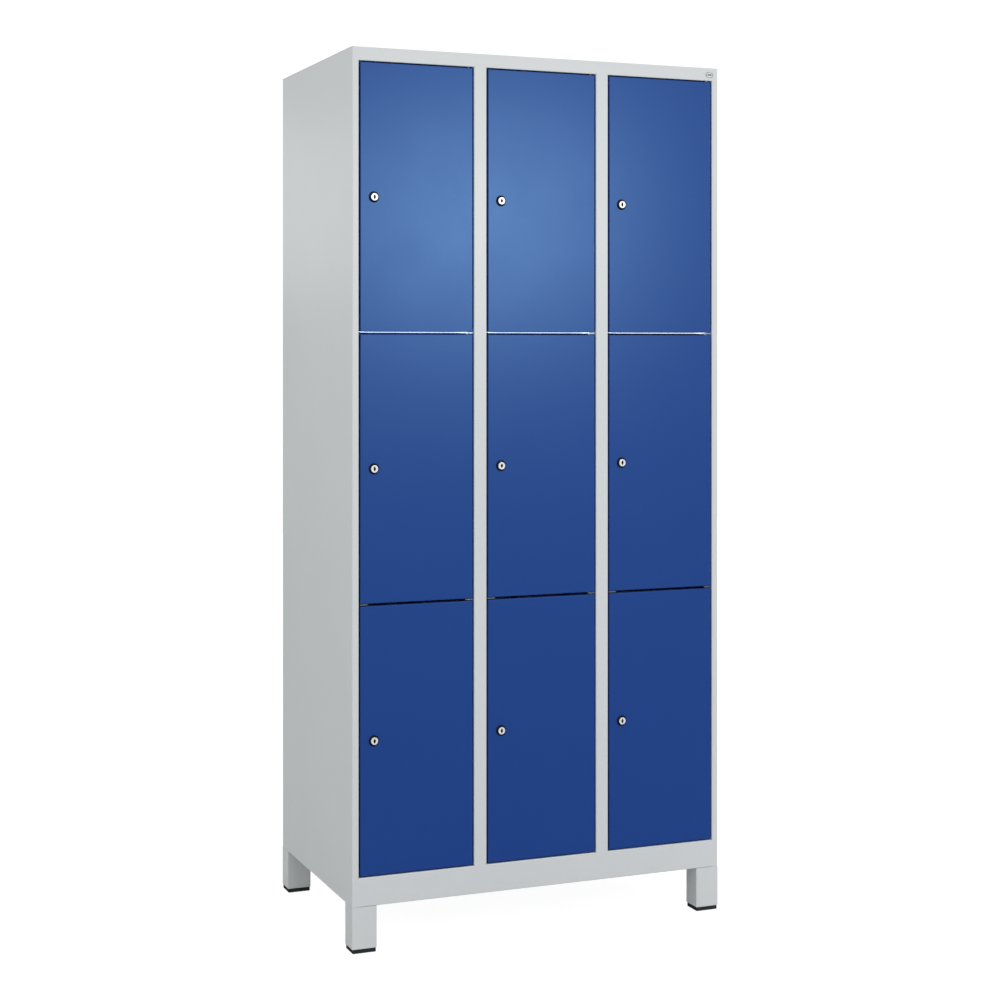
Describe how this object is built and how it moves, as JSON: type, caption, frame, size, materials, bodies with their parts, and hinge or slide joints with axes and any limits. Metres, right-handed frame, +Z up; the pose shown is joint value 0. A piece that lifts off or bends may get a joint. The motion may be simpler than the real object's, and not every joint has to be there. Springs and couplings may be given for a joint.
{
  "type": "coin operated locker",
  "caption": "Steel locker cabinet on four legs with hinged pan doors over shelved compartments, each shut by a key lock with a coin deposit inside the door.",
  "frame": {"origin": "on the floor under the middle of the whole object, the locks' small projection included", "axes": "+X to the right as one faces the doors, the doors face -Y, +Z up"},
  "size_m": [0.9, 0.504, 1.95],
  "materials": {
    "frame_grey": "light grey powder coat, fine orange peel, satin",
    "door_blue": "blue powder coat, fine orange peel, satin",
    "lock_black": "moulded black, satin",
    "lock_chrome": "polished",
    "zinc_steel": "bright zinc plate",
    "foot_black": "moulded black, matt"
  },
  "bodies": {
    "cabinet": {"side_panel_left": "frame_grey", "side_panel_right": "frame_grey", "back_panel": "frame_grey", "top_panel": "frame_grey", "floor_panel": "frame_grey", "base_frame": "frame_grey", "partition_left": "frame_grey", "partition_right": "frame_grey", "mullion_left": "frame_grey", "mullion_right": "frame_grey", "shelf_left_upper": "frame_grey", "shelf_left_lower": "frame_grey", "shelf_centre_upper": "frame_grey", "shelf_centre_lower": "frame_grey", "shelf_right_upper": "frame_grey", "shelf_right_lower": "frame_grey", "foot_front_left": "foot_black", "foot_front_right": "foot_black", "foot_rear_left": "foot_black", "foot_rear_right": "foot_black", "hinge_rod_left": "zinc_steel", "hinge_rod_centre": "zinc_steel", "hinge_rod_right": "zinc_steel", "badge": "zinc_steel"},
    "door_left_top": {"door_left_top": "door_blue", "lock_case_left_top": "lock_black"},
    "lock_left_top": {"lock_cylinder_left_top": "lock_chrome"},
    "bolt_left_top": {"lock_bolt_left_top": "zinc_steel"},
    "door_left_middle": {"door_left_middle": "door_blue", "lock_case_left_middle": "lock_black"},
    "lock_left_middle": {"lock_cylinder_left_middle": "lock_chrome"},
    "bolt_left_middle": {"lock_bolt_left_middle": "zinc_steel"},
    "door_left_bottom": {"door_left_bottom": "door_blue", "lock_case_left_bottom": "lock_black"},
    "lock_left_bottom": {"lock_cylinder_left_bottom": "lock_chrome"},
    "bolt_left_bottom": {"lock_bolt_left_bottom": "zinc_steel"},
    "door_centre_top": {"door_centre_top": "door_blue", "lock_case_centre_top": "lock_black"},
    "lock_centre_top": {"lock_cylinder_centre_top": "lock_chrome"},
    "bolt_centre_top": {"lock_bolt_centre_top": "zinc_steel"},
    "door_centre_middle": {"door_centre_middle": "door_blue", "lock_case_centre_middle": "lock_black"},
    "lock_centre_middle": {"lock_cylinder_centre_middle": "lock_chrome"},
    "bolt_centre_middle": {"lock_bolt_centre_middle": "zinc_steel"},
    "door_centre_bottom": {"door_centre_bottom": "door_blue", "lock_case_centre_bottom": "lock_black"},
    "lock_centre_bottom": {"lock_cylinder_centre_bottom": "lock_chrome"},
    "bolt_centre_bottom": {"lock_bolt_centre_bottom": "zinc_steel"},
    "door_right_top": {"door_right_top": "door_blue", "lock_case_right_top": "lock_black"},
    "lock_right_top": {"lock_cylinder_right_top": "lock_chrome"},
    "bolt_right_top": {"lock_bolt_right_top": "zinc_steel"},
    "door_right_middle": {"door_right_middle": "door_blue", "lock_case_right_middle": "lock_black"},
    "lock_right_middle": {"lock_cylinder_right_middle": "lock_chrome"},
    "bolt_right_middle": {"lock_bolt_right_middle": "zinc_steel"},
    "door_right_bottom": {"door_right_bottom": "door_blue", "lock_case_right_bottom": "lock_black"},
    "lock_right_bottom": {"lock_cylinder_right_bottom": "lock_chrome"},
    "bolt_right_bottom": {"lock_bolt_right_bottom": "zinc_steel"}
  },
  "joints": [
    {"name": "door_left_top_hinge", "type": "hinge", "parent": "cabinet", "child": "door_left_top", "pos_m": [-0.1768, -0.2415, 1.62742], "axis": [0, 0, 1], "range_deg": [0, 110]},
    {"name": "lock_left_top_turn", "type": "hinge", "parent": "door_left_top", "child": "lock_left_top", "pos_m": [-0.4, -0.247, 1.62742], "axis": [0, -1, 0], "range_deg": [0, 90]},
    {"name": "bolt_left_top_slide", "type": "slide", "parent": "door_left_top", "child": "bolt_left_top", "axis": [-1, 0, 0], "range_m": [0, 0.01]},
    {"name": "door_left_middle_hinge", "type": "hinge", "parent": "cabinet", "child": "door_left_middle", "pos_m": [-0.1768, -0.2415, 1.04125], "axis": [0, 0, 1], "range_deg": [0, 110]},
    {"name": "lock_left_middle_turn", "type": "hinge", "parent": "door_left_middle", "child": "lock_left_middle", "pos_m": [-0.4, -0.247, 1.04125], "axis": [0, -1, 0], "range_deg": [0, 90]},
    {"name": "bolt_left_middle_slide", "type": "slide", "parent": "door_left_middle", "child": "bolt_left_middle", "axis": [-1, 0, 0], "range_m": [0, 0.01]},
    {"name": "door_left_bottom_hinge", "type": "hinge", "parent": "cabinet", "child": "door_left_bottom", "pos_m": [-0.1768, -0.2415, 0.45508], "axis": [0, 0, 1], "range_deg": [0, 110]},
    {"name": "lock_left_bottom_turn", "type": "hinge", "parent": "door_left_bottom", "child": "lock_left_bottom", "pos_m": [-0.4, -0.247, 0.45508], "axis": [0, -1, 0], "range_deg": [0, 90]},
    {"name": "bolt_left_bottom_slide", "type": "slide", "parent": "door_left_bottom", "child": "bolt_left_bottom", "axis": [-1, 0, 0], "range_m": [0, 0.01]},
    {"name": "door_centre_top_hinge", "type": "hinge", "parent": "cabinet", "child": "door_centre_top", "pos_m": [0.1232, -0.2415, 1.62742], "axis": [0, 0, 1], "range_deg": [0, 110]},
    {"name": "lock_centre_top_turn", "type": "hinge", "parent": "door_centre_top", "child": "lock_centre_top", "pos_m": [-0.1, -0.247, 1.62742], "axis": [0, -1, 0], "range_deg": [0, 90]},
    {"name": "bolt_centre_top_slide", "type": "slide", "parent": "door_centre_top", "child": "bolt_centre_top", "axis": [-1, 0, 0], "range_m": [0, 0.01]},
    {"name": "door_centre_middle_hinge", "type": "hinge", "parent": "cabinet", "child": "door_centre_middle", "pos_m": [0.1232, -0.2415, 1.04125], "axis": [0, 0, 1], "range_deg": [0, 110]},
    {"name": "lock_centre_middle_turn", "type": "hinge", "parent": "door_centre_middle", "child": "lock_centre_middle", "pos_m": [-0.1, -0.247, 1.04125], "axis": [0, -1, 0], "range_deg": [0, 90]},
    {"name": "bolt_centre_middle_slide", "type": "slide", "parent": "door_centre_middle", "child": "bolt_centre_middle", "axis": [-1, 0, 0], "range_m": [0, 0.01]},
    {"name": "door_centre_bottom_hinge", "type": "hinge", "parent": "cabinet", "child": "door_centre_bottom", "pos_m": [0.1232, -0.2415, 0.45508], "axis": [0, 0, 1], "range_deg": [0, 110]},
    {"name": "lock_centre_bottom_turn", "type": "hinge", "parent": "door_centre_bottom", "child": "lock_centre_bottom", "pos_m": [-0.1, -0.247, 0.45508], "axis": [0, -1, 0], "range_deg": [0, 90]},
    {"name": "bolt_centre_bottom_slide", "type": "slide", "parent": "door_centre_bottom", "child": "bolt_centre_bottom", "axis": [-1, 0, 0], "range_m": [0, 0.01]},
    {"name": "door_right_top_hinge", "type": "hinge", "parent": "cabinet", "child": "door_right_top", "pos_m": [0.4232, -0.2415, 1.62742], "axis": [0, 0, 1], "range_deg": [0, 110]},
    {"name": "lock_right_top_turn", "type": "hinge", "parent": "door_right_top", "child": "lock_right_top", "pos_m": [0.2, -0.247, 1.62742], "axis": [0, -1, 0], "range_deg": [0, 90]},
    {"name": "bolt_right_top_slide", "type": "slide", "parent": "door_right_top", "child": "bolt_right_top", "axis": [-1, 0, 0], "range_m": [0, 0.01]},
    {"name": "door_right_middle_hinge", "type": "hinge", "parent": "cabinet", "child": "door_right_middle", "pos_m": [0.4232, -0.2415, 1.04125], "axis": [0, 0, 1], "range_deg": [0, 110]},
    {"name": "lock_right_middle_turn", "type": "hinge", "parent": "door_right_middle", "child": "lock_right_middle", "pos_m": [0.2, -0.247, 1.04125], "axis": [0, -1, 0], "range_deg": [0, 90]},
    {"name": "bolt_right_middle_slide", "type": "slide", "parent": "door_right_middle", "child": "bolt_right_middle", "axis": [-1, 0, 0], "range_m": [0, 0.01]},
    {"name": "door_right_bottom_hinge", "type": "hinge", "parent": "cabinet", "child": "door_right_bottom", "pos_m": [0.4232, -0.2415, 0.45508], "axis": [0, 0, 1], "range_deg": [0, 110]},
    {"name": "lock_right_bottom_turn", "type": "hinge", "parent": "door_right_bottom", "child": "lock_right_bottom", "pos_m": [0.2, -0.247, 0.45508], "axis": [0, -1, 0], "range_deg": [0, 90]},
    {"name": "bolt_right_bottom_slide", "type": "slide", "parent": "door_right_bottom", "child": "bolt_right_bottom", "axis": [-1, 0, 0], "range_m": [0, 0.01]}
  ],
  "couplings": [
    {"joint": "lock_left_top_turn", "follows": "bolt_left_top_slide", "rad_per_m": 157.07},
    {"joint": "lock_left_middle_turn", "follows": "bolt_left_middle_slide", "rad_per_m": 157.07},
    {"joint": "lock_left_bottom_turn", "follows": "bolt_left_bottom_slide", "rad_per_m": 157.07},
    {"joint": "lock_centre_top_turn", "follows": "bolt_centre_top_slide", "rad_per_m": 157.07},
    {"joint": "lock_centre_middle_turn", "follows": "bolt_centre_middle_slide", "rad_per_m": 157.07},
    {"joint": "lock_centre_bottom_turn", "follows": "bolt_centre_bottom_slide", "rad_per_m": 157.07},
    {"joint": "lock_right_top_turn", "follows": "bolt_right_top_slide", "rad_per_m": 157.07},
    {"joint": "lock_right_middle_turn", "follows": "bolt_right_middle_slide", "rad_per_m": 157.07},
    {"joint": "lock_right_bottom_turn", "follows": "bolt_right_bottom_slide", "rad_per_m": 157.07}
  ]
}
